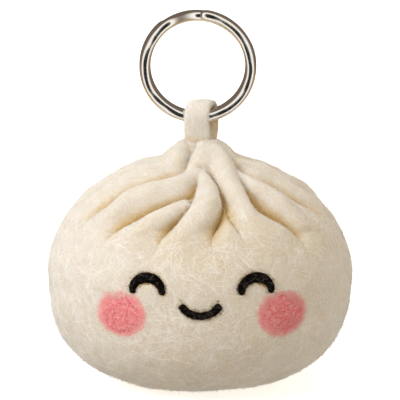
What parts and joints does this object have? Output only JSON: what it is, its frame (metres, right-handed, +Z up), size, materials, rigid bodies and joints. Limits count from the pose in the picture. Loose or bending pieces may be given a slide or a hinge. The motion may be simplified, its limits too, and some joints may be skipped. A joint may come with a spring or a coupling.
{
  "type": "felt bun key ring charm",
  "caption": "Needle-felted steamed-bun charm with a pleated top, a smiling face, a felt strap loop and a split key ring that swings in the loop.",
  "frame": {"origin": "middle of the whole object's box, at the bottom, on the surface the bun stands on", "axes": "+Z up, -Y towards the viewer that the face looks at, +X to that viewer's right"},
  "size_m": [0.0648, 0.0653, 0.0812],
  "materials": {
    "cream_felt": "needle-felted cream wool, matt and slightly fuzzy",
    "black_felt": "needle-felted black wool",
    "pink_felt": "needle-felted pink wool, its edge blended into the cream",
    "nickel_plate": "polished nickel-plated spring steel"
  },
  "bodies": {
    "bun": {"bun_body": "cream_felt", "hanging_loop": "cream_felt", "left_eye": "black_felt", "right_eye": "black_felt", "smile": "black_felt", "left_cheek": "pink_felt", "right_cheek": "pink_felt"},
    "ring": {"key_ring": "nickel_plate"}
  },
  "joints": [
    {"name": "ring_swing", "type": "hinge", "parent": "bun", "child": "ring", "pos_m": [-0.00035, 0, 0.0578], "axis": [1, 0, 0], "range_deg": [-120, 115]}
  ]
}
